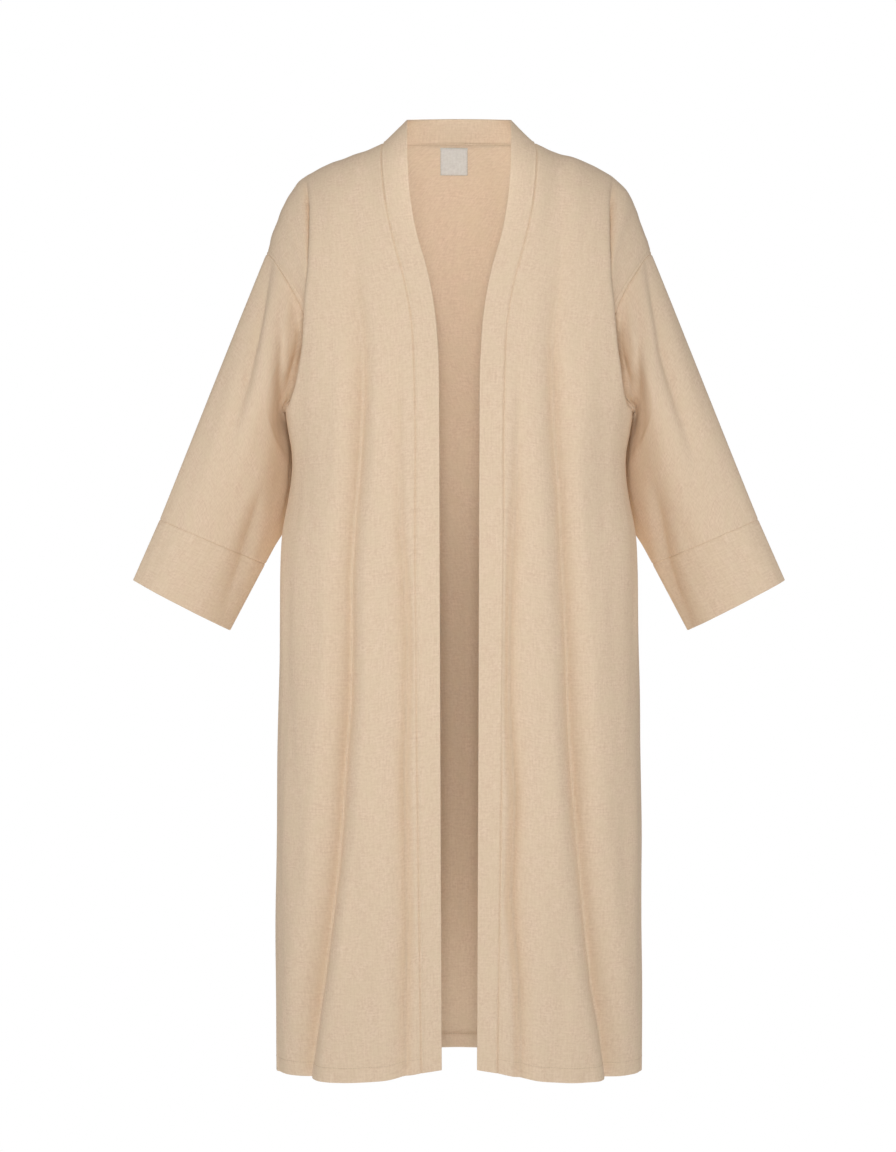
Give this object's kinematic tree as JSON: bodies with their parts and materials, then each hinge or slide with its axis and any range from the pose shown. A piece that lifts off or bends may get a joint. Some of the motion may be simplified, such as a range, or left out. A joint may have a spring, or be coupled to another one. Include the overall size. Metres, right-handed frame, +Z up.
{
  "type": "open-front abaya cloak",
  "caption": "Long open-front abaya cloak in plain linen, with a continuous front band that stands as a low collar, dropped shoulders and wide sleeves with deep cuffs.",
  "frame": {"origin": "middle of the line between the two points where the neck meets the shoulder seams, where the wearer's shoulders hold the cloak", "axes": "+Z up, -Y the way the wearer faces, -X the wearer's right"},
  "size_m": [0.868, 0.2634, 1.2764],
  "materials": {
    "linen_cloth": "matte",
    "label_cloth": "satin"
  },
  "bodies": {
    "root": {"back_panel": "linen_cloth", "right_front": "linen_cloth", "left_front": "linen_cloth", "right_sleeve": "linen_cloth", "left_sleeve": "linen_cloth", "right_cuff": "linen_cloth", "left_cuff": "linen_cloth", "front_band": "linen_cloth", "label": "label_cloth"}
  },
  "joints": []
}
